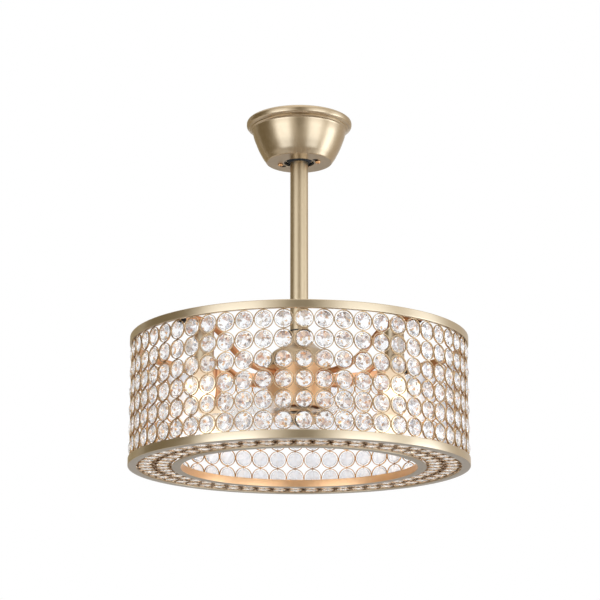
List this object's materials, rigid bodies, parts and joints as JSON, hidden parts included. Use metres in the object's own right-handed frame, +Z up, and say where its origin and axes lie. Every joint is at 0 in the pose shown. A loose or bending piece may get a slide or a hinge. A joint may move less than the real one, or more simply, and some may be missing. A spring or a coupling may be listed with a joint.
{
  "type": "crystal ceiling fan",
  "caption": "Caged ceiling fan with lamps: clear blades and a small motor inside an open drum of ringed glass beads, hung on a downrod from a spun canopy.",
  "frame": {"origin": "centre of the bracket face that lies on the ceiling", "axes": "+Z up into the ceiling, -Y towards the picture's viewer, +X to the viewer's right"},
  "size_m": [0.4998, 0.4998, 0.535],
  "materials": {
    "satin_gold": "satin champagne gold",
    "steel": "plain zinc-plated",
    "brass_screw": "bright coppery brass",
    "black_plastic": "matt black",
    "black_rubber": "matt black",
    "black_steel": "satin black",
    "copper_wire": "lacquered copper wire",
    "magnet": "sintered dark grey",
    "crystal": "clear faceted beads in bright gold rings",
    "acrylic": "clear polished acrylic",
    "bulb_glass": "warm-white lit glass"
  },
  "bodies": {
    "ceiling_mount": {"hanging_bracket": "steel", "canopy": "satin_gold", "canopy_screw_left": "brass_screw", "canopy_screw_right": "brass_screw", "remote_receiver": "black_plastic"},
    "hanging_assembly": {"hanger_ball": "black_plastic", "ball_pin": "steel", "downrod": "satin_gold", "rod_washer": "black_rubber", "motor_coupling": "steel", "coupling_pin": "steel", "housing_dome": "satin_gold", "housing_body": "satin_gold", "motor_shaft": "steel", "stator_core": "steel", "upper_winding": "copper_wire", "lower_winding": "copper_wire", "upper_bearing": "steel", "lower_bearing": "steel", "lamp_arm_1": "satin_gold", "lamp_arm_2": "satin_gold", "lamp_arm_3": "satin_gold", "lamp_arm_4": "satin_gold", "arm_nut_1": "black_steel", "arm_nut_2": "black_steel", "arm_nut_3": "black_steel", "arm_nut_4": "black_steel", "lamp_sleeve_1": "satin_gold", "lamp_sleeve_2": "satin_gold", "lamp_sleeve_3": "satin_gold", "lamp_sleeve_4": "satin_gold", "lamp_socket_1": "black_plastic", "lamp_socket_2": "black_plastic", "lamp_socket_3": "black_plastic", "lamp_socket_4": "black_plastic", "bulb_1": "bulb_glass", "bulb_2": "bulb_glass", "bulb_3": "bulb_glass", "bulb_4": "bulb_glass", "top_band": "satin_gold", "bottom_band": "satin_gold", "inner_ring": "satin_gold", "crystal_panel_1": "crystal", "crystal_panel_2": "crystal", "crystal_panel_3": "crystal", "crystal_panel_4": "crystal", "base_crystals_outer": "crystal", "base_crystals_inner": "crystal"},
    "rotor": {"rotor_bell": "steel", "rotor_magnet": "magnet", "rotor_base": "steel", "blade_plate": "satin_gold", "blade_1": "acrylic", "blade_2": "acrylic", "blade_3": "acrylic", "blade_4": "acrylic", "blade_5": "acrylic", "blade_clamp": "satin_gold", "hub_nut": "black_steel"}
  },
  "joints": [
    {"name": "hanger_tilt", "type": "hinge", "parent": "ceiling_mount", "child": "hanging_assembly", "pos_m": [0, 0, -0.04369], "axis": [0, 1, 0], "range_deg": [-12, 12]},
    {"name": "rotor_spin", "type": "hinge", "parent": "hanging_assembly", "child": "rotor", "pos_m": [0, 0, -0.44], "axis": [0, 0, 1], "continuous": true}
  ]
}
